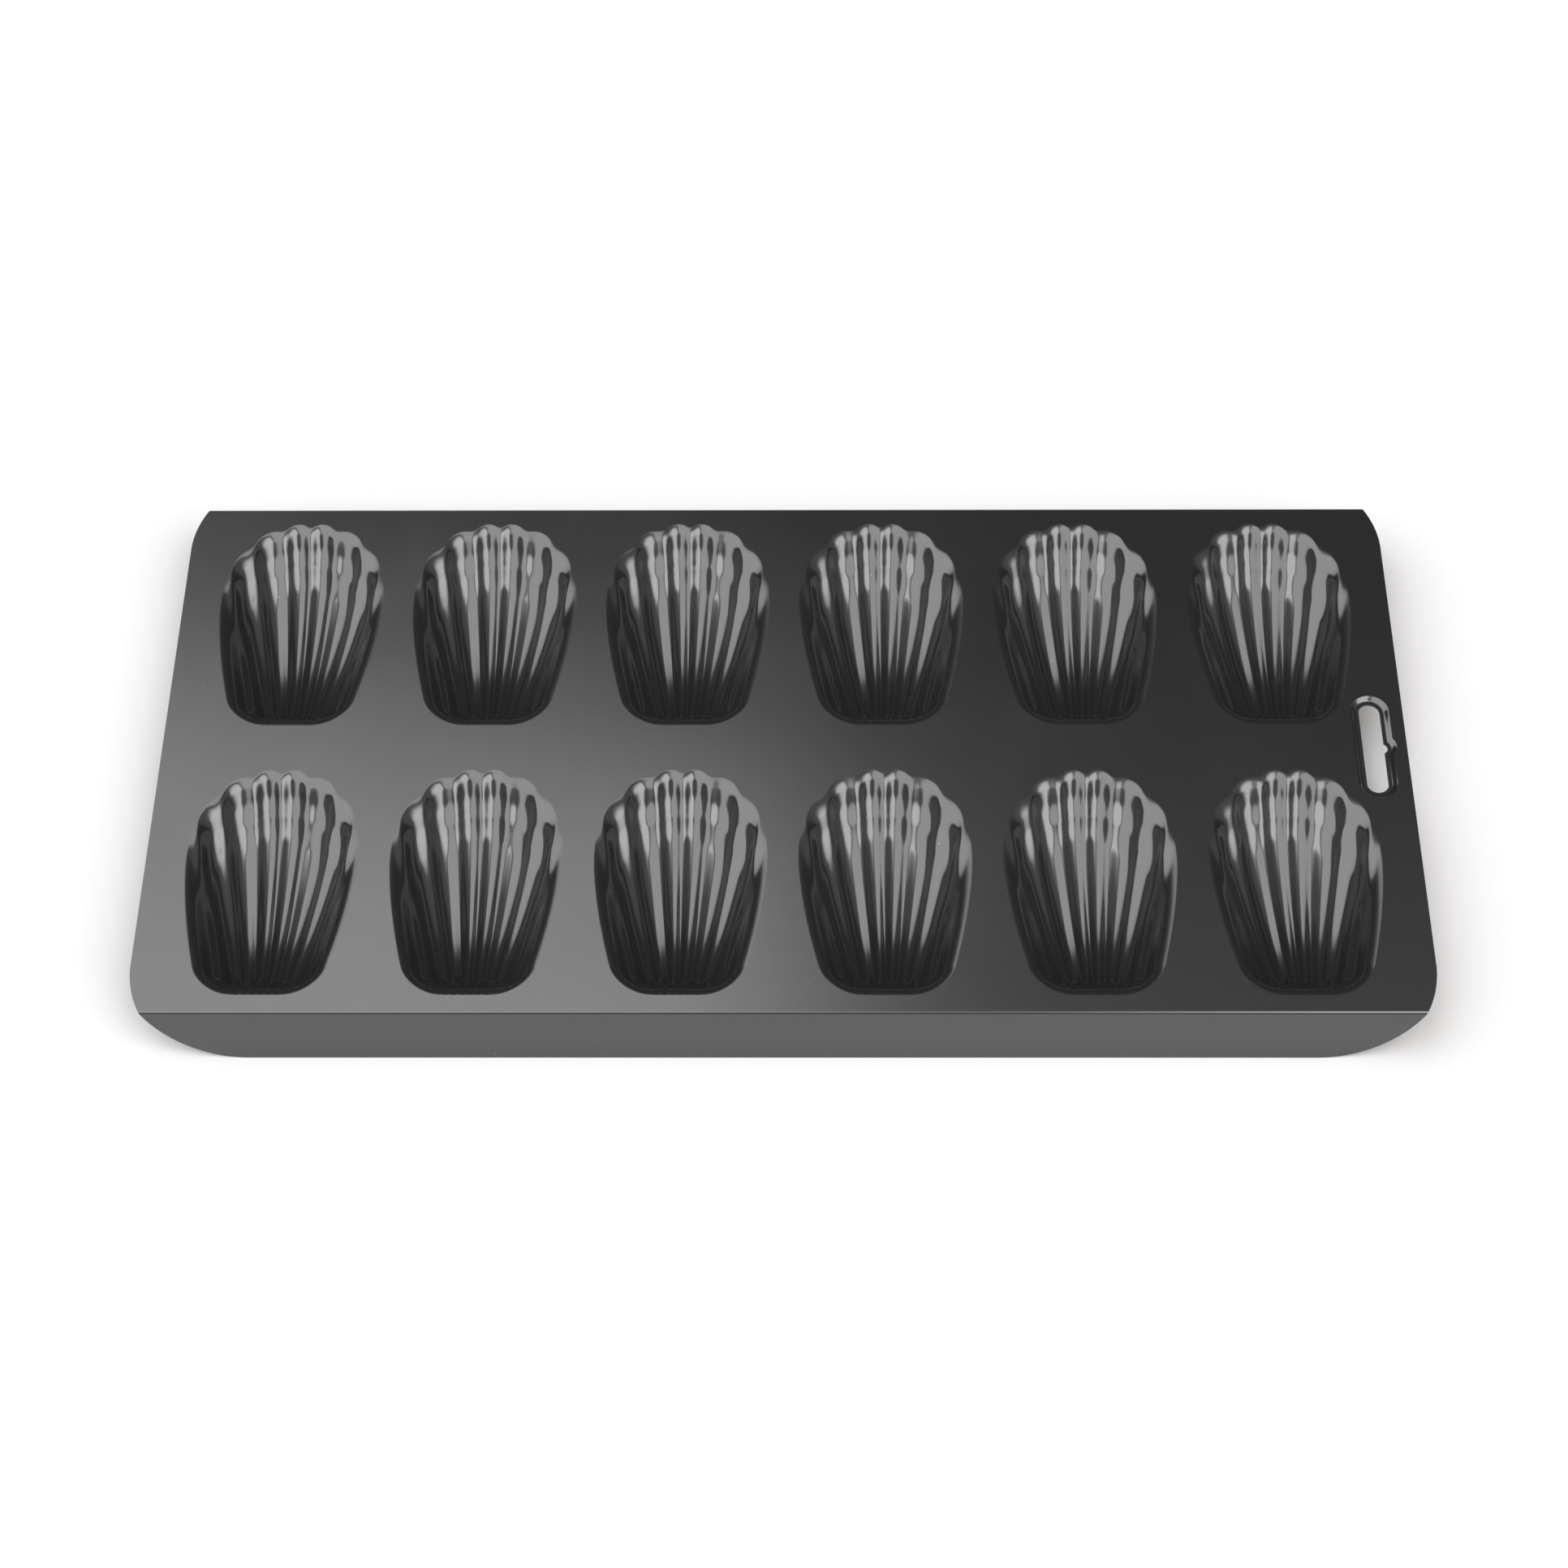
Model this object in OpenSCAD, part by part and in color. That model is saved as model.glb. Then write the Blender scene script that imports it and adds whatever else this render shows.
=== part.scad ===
// Twelve-cup shell cake pan, pressed from one coated steel sheet.
// The deck lies level, the cups hang below it, and the two long sides are
// folded down into skirts that the pan stands on.

/* [Sheet] */
// Length of the pan from one plain end edge to the other
pan_length = 395; // [385:1:440]
// Width over the two long folds
deck_width = 199.4; // [190:0.1:230]
// Height of the deck's top above the table
pan_height = 18.4; // [18:0.1:30]
// Thickness of the sheet
sheet = 0.6; // [0.4:0.05:0.9]
// Corner radius of the flat blank before it is folded
blank_corner = 36; // [24:1:40]

/* [Skirts] */
// Angle that each skirt leans outward from upright
skirt_lean = 13.5; // [5:0.5:20]
// Outside radius of the long folds
fold_radius = 1; // [0.95:0.05:3]

/* [Cup layout] */
// Clear deck between an outermost cup and the end edge
end_margin = 12; // [8:0.5:16]
// Clear deck between neighbouring cups along the pan
column_gap = 9.4; // [6:0.1:13]
// Clear deck between a row of cups and the fold beside it
fold_margin = 6.4; // [5:0.1:12]
// Clear deck between the two rows
row_gap = 17.4; // [12:0.1:24]

/* [Cup outline] */
// How far each side draws in from the widest place to the narrow end
side_taper = 9; // [6:0.5:11]
// Radius of the narrow end's corners
narrow_corner = 11; // [7:0.5:13]
// How far the widest place lies in front of the cup's middle
widest_offset = 8; // [4:0.5:12]

/* [Cup depth] */
// Space between the cups' lowest place and the table
table_gap = 0.8; // [0.4:0.1:3]
// How far the deepest place lies in front of the cup's middle
deepest_offset = 2; // [0:0.5:8]
// Depth at the foot of the narrow end's wall
narrow_depth = 9.5; // [6:0.1:11]
// Depth at the foot of the fan end's wall
fan_depth = 5; // [4:0.1:8]
// Share of its depth by which the floor rises from the middle out to the sides
side_share = 0.52; // [0.5:0.01:0.8]
// Slope of the side walls, from level
side_slope = 66; // [58:1:72]
// Slope of the fan end's wall, from level
fan_slope = 46; // [40:1:56]
// Slope of the narrow end's wall, from level
narrow_slope = 50; // [40:1:60]
// Radius of the rolled rim between deck and cup wall
rim_radius = 4.5; // [2:0.1:5]

/* [Flutes] */
// Number of flutes across a cup
flute_count = 8; // [6:2:10]
// Depth of a flute below its ridges at the fan end
flute_depth_fan = 1.6; // [1:0.1:2.4]
// Depth of a flute below its ridges at the narrow end
flute_depth_narrow = 0.7; // [0.4:0.1:1]
// How far a ridge's notch cuts into the fan rim
notch_depth = 1.8; // [1.2:0.1:2.6]

/* [Hang slot] */
// Distance from the slot's middle to the end edge
slot_inset = 10.5; // [10:0.1:12]
// Width of the slot
slot_width = 6.75; // [5:0.05:8]
// Length of the slot
slot_length = 34.85; // [24:0.05:50]
// Radius of the peg notch in the slot's outer side
peg_radius = 2.2; // [1.8:0.1:3]
// How far the peg notch reaches past the slot's outer side
peg_reach = 1.15; // [0.6:0.05:1.6]
// Width of the pressed border round the slot
border_width = 2.8; // [2:0.1:3.4]
// How far the border dips below the deck
border_dip = 1; // [0.5:0.1:1.6]

/* [Hidden] */

coating = [0.24, 0.24, 0.25];
cup_coating = [0.17, 0.17, 0.18];

// Cups: column 1 is on the left and row 1 in front
columns = 6;
rows = 2;
cup_width = (pan_length - 2 * end_margin - (columns - 1) * column_gap) / columns;
cup_length = (deck_width - 2 * fold_margin - (rows - 1) * row_gap) / rows;
narrow_width = cup_width - 2 * side_taper;
cup_depth = pan_height - sheet - table_gap;

// Fold: the deck is flat out to fold_start, then turns down through fold_turn
fold_turn = 90 - skirt_lean;
fold_start = deck_width / 2 - fold_radius;
fold_arc = fold_radius * fold_turn * PI / 180;
fold_drop = fold_radius * (1 - cos(fold_turn));
skirt_run = (pan_height - fold_drop) / cos(skirt_lean);
blank_reach = fold_start + fold_arc + skirt_run;
fold_steps = 6;
corner_steps = 7;

// Cup stations: shares of the way from the narrow end to the fan end
lengthways = [0, 0.022, 0.1, 0.3, 0.52, 0.72, 0.88, 0.95, 0.975, 1];
flute_half = flute_count / 2;
facets_per_flute = 3;
side_steps = 5;
side_crowding = 1.7;
envelope_power = 2.2;
side_power = 1.6;
fan_bunching = 0.45;
floor_power = 2.1;
wave_power = 1.5;
notch_fade = 0.7;
foot_blend = 9;
crease_blend = 0.8;
least_blend = 0.001;
flute_run_in = 8;
difference_step = 0.004;
side_bulge_power = 3;

border_rings = [[1, 0], [0.55, 0.3], [0, 1]];
slot_end_steps = 6;
peg_steps = 4;

function mix(a, b, t) = a + (b - a) * t;
function smooth(t) = let (s = max(0, min(1, t))) s * s * (3 - 2 * s);
function soft_min(a, b, k) = let (h = max(k - abs(a - b), 0) / k) min(a, b) - h * h * k / 4;

// The flat blank and the folded sheet

module blank() {
    square([pan_length, 2 * (blank_reach - blank_corner)], center = true);
    square([pan_length - 2 * blank_corner, 2 * blank_reach], center = true);
    for (x = [-1, 1], y = [-1, 1])
        translate([x * (pan_length / 2 - blank_corner), y * (blank_reach - blank_corner)])
            circle(r = blank_corner, $fn = 96);
}

// Half length of the blank at a distance along it from the pan's middle line
function blank_half(along) =
    let (past = max(0, along - (blank_reach - blank_corner)))
    pan_length / 2 - blank_corner + sqrt(max(0, blank_corner * blank_corner - past * past));

// Angle through which the sheet has turned there
function turned(along) = min(fold_turn, max(0, (along - fold_start) / fold_arc * fold_turn));

// Place of the sheet's outer face in the cross-section, as [y, z]
function folded(along) =
    let (a = turned(along), run = max(0, along - fold_start - fold_arc))
    [
        fold_start + fold_radius * sin(a) + run * cos(fold_turn),
        pan_height - fold_radius * (1 - cos(a)) - run * sin(fold_turn)
    ];

// Place of the inner face, slid back up the skirt where it would pass the table
function folded_inner(along) =
    let (
        p = folded(along),
        a = turned(along),
        q = p - sheet * [sin(a), cos(a)],
        lift = max(0, -q[1]) / sin(fold_turn)
    )
    q + lift * [-cos(fold_turn), sin(fold_turn)];

skirt_stations = concat(
    [for (i = [0 : fold_steps]) fold_start + fold_arc * i / fold_steps],
    let (first = asin(max(0, fold_start + fold_arc - blank_reach + blank_corner) / blank_corner))
    [for (i = [1 : corner_steps])
        blank_reach - blank_corner + blank_corner * sin(mix(first, 90, i / corner_steps))]
);

module folded_skirt() {
    count = len(skirt_stations);
    outer = [for (s = skirt_stations, side = [-1, 1])
        let (p = folded(s)) [side * blank_half(s), p[0], p[1]]];
    inner = [for (s = skirt_stations, side = [-1, 1])
        let (p = folded_inner(s)) [side * blank_half(s), p[0], p[1]]];
    lower = 2 * count;
    faces = concat(
        [for (i = [0 : count - 2]) let (a = 2 * i) [a, a + 2, a + 3, a + 1]],
        [for (i = [0 : count - 2]) let (a = lower + 2 * i) [a, a + 1, a + 3, a + 2]],
        [for (i = [0 : count - 2]) let (a = 2 * i) [a, lower + a, lower + a + 2, a + 2]],
        [for (i = [0 : count - 2]) let (a = 2 * i + 1) [a, a + 2, lower + a + 2, lower + a]],
        [[0, 1, lower + 1, lower]],
        [let (a = 2 * count - 2) [a, lower + a, lower + a + 1, a + 1]]
    );
    polyhedron(points = concat(outer, inner), faces = faces);
}

// Cup outline, in the cup's own plan: x across, y from narrow end to fan end.
// Across the flutes u grows by 1 from ridge to ridge, and along them v runs from 0 to 1.

function outline_half(y) =
    let (back = max(0, widest_offset - y) / (widest_offset + cup_length / 2))
    mix(cup_width, narrow_width, pow(back, side_power)) / 2;

// How far the rounded corner draws the side in, near the narrow end
function corner_inset(y) =
    let (short = max(0, narrow_corner - (y + cup_length / 2)))
    narrow_corner - sqrt(max(0, narrow_corner * narrow_corner - short * short));

// Height of the flutes' cross-section, a smooth wave: 1 on a ridge and 0 in the middle of a flute.
// The outermost flutes have no outer ridge, as they turn up into the side wall.
function ridge_share(u) = abs(u) > flute_half - 0.5 ? 0 : pow(pow(cos(180 * u), 2), wave_power);

// Fan rim: a rounded arch with one bulge for each flute
function arch_angle(u) =
    let (q = abs(u) / flute_half)
    90 * mix(q, (1 - cos(180 * q)) / 2, fan_bunching);

function arch_point(u) =
    let (a = arch_angle(u), e = 2 / envelope_power)
    [
        sign(u) * cup_width / 2 * pow(sin(a), e),
        widest_offset + (cup_length / 2 - widest_offset) * pow(max(0, cos(a)), e)
    ];

function arch_normal(u) =
    let (
        a = arch_angle(u),
        e = 2 - 2 / envelope_power,
        n = [
            sign(u) * pow(sin(a), e) / cup_width,
            pow(max(0, cos(a)), e) / (cup_length - 2 * widest_offset)
        ]
    )
    n / norm(n);

// Depth of the rim's notches, less towards the sides
function notch(u) = notch_depth * mix(1, cos(arch_angle(u)), notch_fade) * ridge_share(u);

function fan_point(u) = arch_point(u) - notch(u) * arch_normal(u);

corner_reach = narrow_corner * (1 - cos(45));
flat_half = narrow_width / 2 - narrow_corner;

function narrow_point(u) =
    let (inner = flute_half - 1, past = abs(u) - inner)
    past <= 0 ? [u / inner * flat_half, -cup_length / 2] :
    let (y = narrow_corner * (1 - cos(45 * past)) - cup_length / 2)
    [sign(u) * (outline_half(y) - corner_inset(y)), y];

function side_point(v) =
    let (y = mix(corner_reach - cup_length / 2, widest_offset, v))
    [outline_half(y) - corner_inset(y), y];

// Plan of the cup: lines of equal u run along the flutes
function cup_plan(u, v) =
    let (
        straight = mix(narrow_point(u), fan_point(u), v),
        bulge = side_point(v) - mix(narrow_point(flute_half), fan_point(flute_half), v),
        share = pow(abs(u) / flute_half, side_bulge_power)
    )
    straight + share * [sign(u) * bulge[0], bulge[1]];

// Distance in from the outline, with the narrow end's corners rounded
function inside_distance(x, y) =
    let (
        w = outline_half(y),
        b = cup_length / 2 - widest_offset,
        qx = abs(x) / w,
        qy = max(0, y - widest_offset) / b,
        n = envelope_power,
        rho = max(0.001, pow(pow(qx, n) + pow(qy, n), 1 / n)),
        slope = norm([pow(qx / rho, n - 1) / w, pow(qy / rho, n - 1) / b]),
        side = (1 - rho) / max(slope, 0.001),
        end = y + cup_length / 2,
        r = narrow_corner
    )
    side > r || end > r ? min(side, end) : r - norm([max(0, r - side), max(0, r - end)]);

// Depth of a wall that starts level at the rim, rolls over and runs down at a slope
function wall_depth(d, angle) =
    let (r = rim_radius, roll = r * sin(angle), s = max(0, d))
    s < roll ? r - sqrt(r * r - s * s) : r * (1 - cos(angle)) + (s - roll) * tan(angle);

function floor_depth(x, y) =
    let (
        deepest = deepest_offset,
        ahead = max(0, y - deepest) / (cup_length / 2 - deepest),
        behind = max(0, deepest - y) / (cup_length / 2 + deepest),
        rise_ahead = (cup_depth - fan_depth) * pow(ahead, 2),
        rise_behind = (cup_depth - narrow_depth) * pow(behind, floor_power)
    )
    (cup_depth - rise_ahead - rise_behind) * (1 - side_share * pow(x / outline_half(y), 2));

// Slope of the wall: from the narrow end's, round the side, to the fan end's
function wall_angle(x, y) =
    let (
        end = y + cup_length / 2,
        side = outline_half(y) - abs(x),
        ahead = smooth((y - widest_offset) / (cup_length / 2 - widest_offset))
    )
    mix(narrow_slope, mix(side_slope, fan_slope, ahead), beside(end, side));

// How far a place lies towards the side rather than the narrow end: 0 to 1, by its distance from each
function beside(end, side) = smooth((end / max(0.01, end + side) - 0.35) / 0.4);

// How far a place lies towards the fan end: 0 over the first quarter, 1 over the last
function fanward(v) = smooth(2 * v - 0.5);

function cup_surface(u, v) =
    let (
        p = cup_plan(u, v),
        ridge = ridge_share(u),
        rim = inside_distance(p[0], p[1]) - notch(u) * fanward(v),
        wall = wall_depth(rim, wall_angle(p[0], p[1])),
        along = beside(p[1] + cup_length / 2, outline_half(p[1]) - abs(p[0])),
        blend = min(wall + least_blend, mix(crease_blend, foot_blend, along)),
        bowl = soft_min(wall, floor_depth(p[0], p[1]), blend),
        flute = mix(flute_depth_narrow, flute_depth_fan, v) * smooth(rim / flute_run_in)
    )
    [p[0], p[1], flute * ridge - bowl];

function cup_normal(u, v) =
    let (
        h = difference_step,
        du = cup_surface(min(flute_half, u + h), v) - cup_surface(max(-flute_half, u - h), v),
        dv = cup_surface(u, min(1, v + h)) - cup_surface(u, max(0, v - h)),
        n = cross(du, dv)
    )
    n / norm(n);

crosswise = let (inner = flute_half - 1, n = facets_per_flute) concat(
    [for (i = [side_steps : -1 : 1]) -inner - 1 + pow(1 - i / side_steps, side_crowding)],
    [for (i = [-inner * n : inner * n]) i / n],
    [for (i = [1 : side_steps]) inner + 1 - pow(1 - i / side_steps, side_crowding)]
);

last_u = len(crosswise) - 1;
last_v = len(lengthways) - 1;

function on_rim(i, j) = i == 0 || j == 0 || i == last_u || j == last_v;

cup_top = [for (j = [0 : last_v], i = [0 : last_u])
    let (p = cup_surface(crosswise[i], lengthways[j]))
    on_rim(i, j) ? [p[0], p[1], 0] : p];

cup_under = [for (j = [0 : last_v], i = [0 : last_u])
    let (p = cup_top[j * (last_u + 1) + i])
    p - sheet * (on_rim(i, j) ? [0, 0, 1] : cup_normal(crosswise[i], lengthways[j]))];

function grid_index(i, j) = j * (last_u + 1) + i;

// Walk round the cup's rim, anticlockwise from its narrow left corner
rim_walk = concat(
    [for (i = [0 : last_u - 1]) grid_index(i, 0)],
    [for (j = [0 : last_v - 1]) grid_index(last_u, j)],
    [for (i = [last_u : -1 : 1]) grid_index(i, last_v)],
    [for (j = [last_v : -1 : 1]) grid_index(0, j)]
);

cup_rim = [for (k = rim_walk) [cup_top[k][0], cup_top[k][1]]];

// Two triangles for each grid cell, split from corner to corner towards the middle
function cell_faces(i, j, shift) =
    let (
        a = grid_index(i, j) + shift,
        b = a + 1,
        c = b + last_u + 1,
        d = c - 1,
        leans = crosswise[i] < 0
    )
    leans ? [[a, c, b], [a, d, c]] : [[a, d, b], [b, d, c]];

module cup_shell() {
    count = len(cup_top);
    cells = [for (j = [0 : last_v - 1], i = [0 : last_u - 1]) [i, j]];
    upper = [for (c = cells) each cell_faces(c[0], c[1], 0)];
    lower = [for (c = cells) each [for (f = cell_faces(c[0], c[1], count)) [f[2], f[1], f[0]]]];
    edge = [for (k = [0 : len(rim_walk) - 1])
        let (a = rim_walk[k], b = rim_walk[(k + 1) % len(rim_walk)])
        each [[a, b, b + count], [a, b + count, a + count]]];
    polyhedron(points = concat(cup_top, cup_under), faces = concat(upper, lower, edge));
}

function cup_place(column, row) = [
    (column - (columns + 1) / 2) * (cup_width + column_gap),
    (row - (rows + 1) / 2) * (cup_length + row_gap),
    pan_height
];

// Hang slot: its edge, moved outward by some distance, in the deck's plan
slot_place = [pan_length / 2 - slot_inset, 0];

function slot_edge(out) =
    let (
        r = slot_width / 2 + out,
        straight = (slot_length - slot_width) / 2,
        back = slot_width / 2 + peg_reach - peg_radius,
        bump = peg_radius + out,
        spread = acos((r - back) / bump)
    )
    concat(
        [for (i = [0 : slot_end_steps]) let (a = 180 * i / slot_end_steps)
            [r * cos(a), straight + r * sin(a)]],
        [for (i = [0 : slot_end_steps]) let (a = 180 + 180 * i / slot_end_steps)
            [r * cos(a), -straight + r * sin(a)]],
        [for (i = [0 : peg_steps]) let (a = spread * (2 * i / peg_steps - 1))
            [back + bump * cos(a), bump * sin(a)]]
    );

slot_hole = [for (p = slot_edge(border_width)) slot_place + p];

module deck() {
    color(coating)
    translate([0, 0, pan_height - sheet])
    linear_extrude(sheet)
    difference() {
        intersection() {
            blank();
            square([pan_length, 2 * fold_start], center = true);
        }
        for (column = [1 : columns], row = [1 : rows])
            let (at = cup_place(column, row))
            translate([at[0], at[1]])
            polygon(cup_rim);
        polygon(slot_hole);
    }
}

module front_skirt() {
    color(coating)
    mirror([0, 1, 0])
    folded_skirt();
}

module rear_skirt() {
    color(coating)
    folded_skirt();
}

module hang_slot_rim() {
    rings = len(border_rings);
    count = len(slot_hole);
    top = [for (ring = border_rings, p = slot_edge(border_width * ring[0]))
        [slot_place[0] + p[0], p[1], pan_height - border_dip * ring[1]]];
    under = [for (p = top) p - [0, 0, sheet]];
    lower = len(top);
    upper_cells = [for (j = [0 : rings - 2], k = [0 : count - 1])
        let (m = (k + 1) % count, a = j * count)
        each [[a + k, a + count + k, a + m], [a + m, a + count + k, a + count + m]]];
    edges = [for (j = [0, rings - 1], k = [0 : count - 1])
        let (m = (k + 1) % count, a = j * count, b = a + lower)
        each j == 0 ? [[a + k, a + m, b + k], [a + m, b + m, b + k]]
            : [[a + k, b + k, a + m], [a + m, b + k, b + m]]];
    color(coating)
    polyhedron(
        points = concat(top, under),
        faces = concat(
            upper_cells,
            [for (f = upper_cells) [f[2] + lower, f[1] + lower, f[0] + lower]],
            edges
        )
    );
}

module cup(column, row) {
    color(cup_coating)
    translate(cup_place(column, row))
    cup_shell();
}

deck();
front_skirt();
rear_skirt();
hang_slot_rim();
for (column = [1 : columns]) {
    cup(column, 1);
    cup(column, 2);
}
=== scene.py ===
"""The looks of a pressed shell cake pan: one coated steel sheet with fluted cups."""

import logging
import math
from dataclasses import dataclass
from enum import Enum

import bpy
import numpy as np
from mathutils import Matrix, Vector
from mathutils.geometry import delaunay_2d_cdt


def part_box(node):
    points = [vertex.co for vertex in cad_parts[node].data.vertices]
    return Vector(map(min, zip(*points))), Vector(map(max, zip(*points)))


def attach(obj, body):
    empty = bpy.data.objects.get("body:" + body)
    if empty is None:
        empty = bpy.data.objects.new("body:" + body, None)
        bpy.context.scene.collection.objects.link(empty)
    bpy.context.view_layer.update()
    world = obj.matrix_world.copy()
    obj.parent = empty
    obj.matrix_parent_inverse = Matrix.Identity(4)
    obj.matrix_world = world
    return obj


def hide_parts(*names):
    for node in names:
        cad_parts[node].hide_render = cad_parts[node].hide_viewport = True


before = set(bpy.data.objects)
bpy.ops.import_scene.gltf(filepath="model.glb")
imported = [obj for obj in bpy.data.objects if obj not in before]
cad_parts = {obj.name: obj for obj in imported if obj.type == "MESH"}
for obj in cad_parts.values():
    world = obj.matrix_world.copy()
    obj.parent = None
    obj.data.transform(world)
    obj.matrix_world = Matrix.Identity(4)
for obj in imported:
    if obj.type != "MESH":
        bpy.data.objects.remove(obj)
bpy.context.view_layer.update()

log = logging.getLogger("shell_pan")

# Thickness of the steel sheet, and the corner radius of its flat blank.
SHEET = 0.0006
BLANK_CORNER = 0.036

# An edge that turns by more than this is shaded as crisp.
CRISP_EDGE = math.radians(50)

# Least divisors, so that nothing is divided by zero in the middle or at the rim of a cup.
LEAST_LENGTH = 1e-6
LEAST_SHARE = 1e-3

# What a node's input takes: another node's output, a number, or a colour with its alpha.
Feed = bpy.types.NodeSocket | float | tuple[float, ...]


class Row(Enum):
    """The two rows of cups, by the word that their nodes' names hold."""

    FRONT = "front"
    REAR = "rear"


class Side(Enum):
    """The two long sides of the pan, by the direction in which they face."""

    FRONT = -1
    REAR = 1


def mix(a: np.ndarray, b: np.ndarray, t: np.ndarray) -> np.ndarray:
    """Straight blend: a + (b - a) t.

    Args:
        a: Value at t = 0.
        b: Value at t = 1.
        t: Share of the way from a to b.

    Returns:
        The blended value.
    """
    return a + (b - a) * t


def ease(t: np.ndarray) -> np.ndarray:
    """Smooth step: 3 s^2 - 2 s^3, where s is t held between 0 and 1.

    Args:
        t: Any number.

    Returns:
        A number from 0 to 1.
    """
    s = np.clip(t, 0, 1)
    return s * s * (3 - 2 * s)


def cosine_step(t: np.ndarray) -> np.ndarray:
    """Smooth step from 0 at t = 0 to 1 at t = 1: (1 - cos(pi t)) / 2."""
    return (1 - np.cos(np.pi * t)) / 2


def soft_least(a: np.ndarray, b: np.ndarray, reach: np.ndarray) -> np.ndarray:
    """Lesser of two depths with a rounded change from one to the other.

    The lesser, less h^2 reach / 4, where h is 1 - |a - b| / reach, or 0 if that is negative.

    Args:
        a: First depth.
        b: Second depth.
        reach: Difference at which the rounding starts.

    Returns:
        The rounded lesser depth.
    """
    h = np.maximum(reach - np.abs(a - b), 0) / reach
    return np.minimum(a, b) - h * h * reach / 4


def grid_quads(rows: int, columns: int, closed: bool = False) -> np.ndarray:
    """Quads of a grid of points, facing along (column direction) x (row direction).

    Args:
        rows: Number of rows of points.
        columns: Number of points in a row.
        closed: Whether each row ends where it starts.

    Returns:
        An array of quads, four point numbers each.
    """
    j = np.arange(rows - 1)[:, None]
    i = np.arange(columns if closed else columns - 1)[None, :]
    right = (i + 1) % columns
    corners = [j * columns + i, j * columns + right, (j + 1) * columns + right, (j + 1) * columns + i]
    return np.stack(np.broadcast_arrays(*corners), -1).reshape(-1, 4)


def edge_walls(faces: np.ndarray, shift: int) -> np.ndarray:
    """Quads that join the open edges of a surface to those of its copy.

    An edge is open where no face runs along it the other way.

    Args:
        faces: Faces of the upper surface, all with the same number of corners.
        shift: How much larger the copy's point numbers are.

    Returns:
        An array of quads that face outward.
    """
    start = faces.ravel()
    end = np.roll(faces, -1, axis=1).ravel()
    size = int(faces.max()) + 1
    forward = start * size + end
    backward = end * size + start
    is_open = ~np.isin(forward, backward)
    a, b = start[is_open], end[is_open]
    return np.stack([b, a, a + shift, b + shift], -1)


def new_piece(name: str, points: np.ndarray, face_sets: list[np.ndarray]) -> bpy.types.Object:
    """Makes a mesh object from points and sets of faces.

    Args:
        name: Name of the object and its mesh.
        points: Points in metres, in the pan's frame.
        face_sets: Arrays of faces, each with its own number of corners.

    Returns:
        The new object, at the origin.
    """
    corners = np.concatenate([f.ravel() for f in face_sets]).astype(np.int32)
    counts = np.concatenate([np.full(len(f), f.shape[1]) for f in face_sets]).astype(np.int32)
    starts = np.concatenate([[0], np.cumsum(counts)[:-1]]).astype(np.int32)
    mesh = bpy.data.meshes.new(name)
    mesh.vertices.add(len(points))
    mesh.vertices.foreach_set("co", points.astype(np.float32).ravel())
    mesh.loops.add(len(corners))
    mesh.loops.foreach_set("vertex_index", corners)
    mesh.polygons.add(len(counts))
    mesh.polygons.foreach_set("loop_start", starts)
    mesh.update(calc_edges=True)
    mesh.validate()
    mesh.polygons.foreach_set("use_smooth", np.ones(len(mesh.polygons), bool))
    mesh.set_sharp_from_angle(angle=CRISP_EDGE)
    piece = bpy.data.objects.new(name, mesh)
    bpy.context.scene.collection.objects.link(piece)
    return piece


def surface_normals(surface: np.ndarray, closed: bool = False) -> np.ndarray:
    """Unit normals of a grid surface: (change along a row) x (change between rows).

    Args:
        surface: Points as [row, column, xyz].
        closed: Whether each row ends where it starts.

    Returns:
        Normals as [row, column, xyz].
    """
    if closed:
        along = np.roll(surface, -1, axis=1) - np.roll(surface, 1, axis=1)
    else:
        along = np.gradient(surface, axis=1)
    between = np.gradient(surface, axis=0)
    normal = np.cross(along, between)
    return normal / np.linalg.norm(normal, axis=-1, keepdims=True)


def sheet_piece(name: str, top: np.ndarray, under: np.ndarray, closed: bool = False) -> bpy.types.Object:
    """Makes a closed piece of sheet from its two faces.

    Args:
        name: Name of the piece.
        top: Upper face as [row, column, xyz].
        under: Lower face, on the same grid.
        closed: Whether each row ends where it starts.

    Returns:
        The new object.
    """
    rows, columns = top.shape[:2]
    quads = grid_quads(rows, columns, closed)
    shift = rows * columns
    points = np.concatenate([top.reshape(-1, 3), under.reshape(-1, 3)])
    return new_piece(name, points, [quads, quads[:, ::-1] + shift, edge_walls(quads, shift)])


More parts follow.
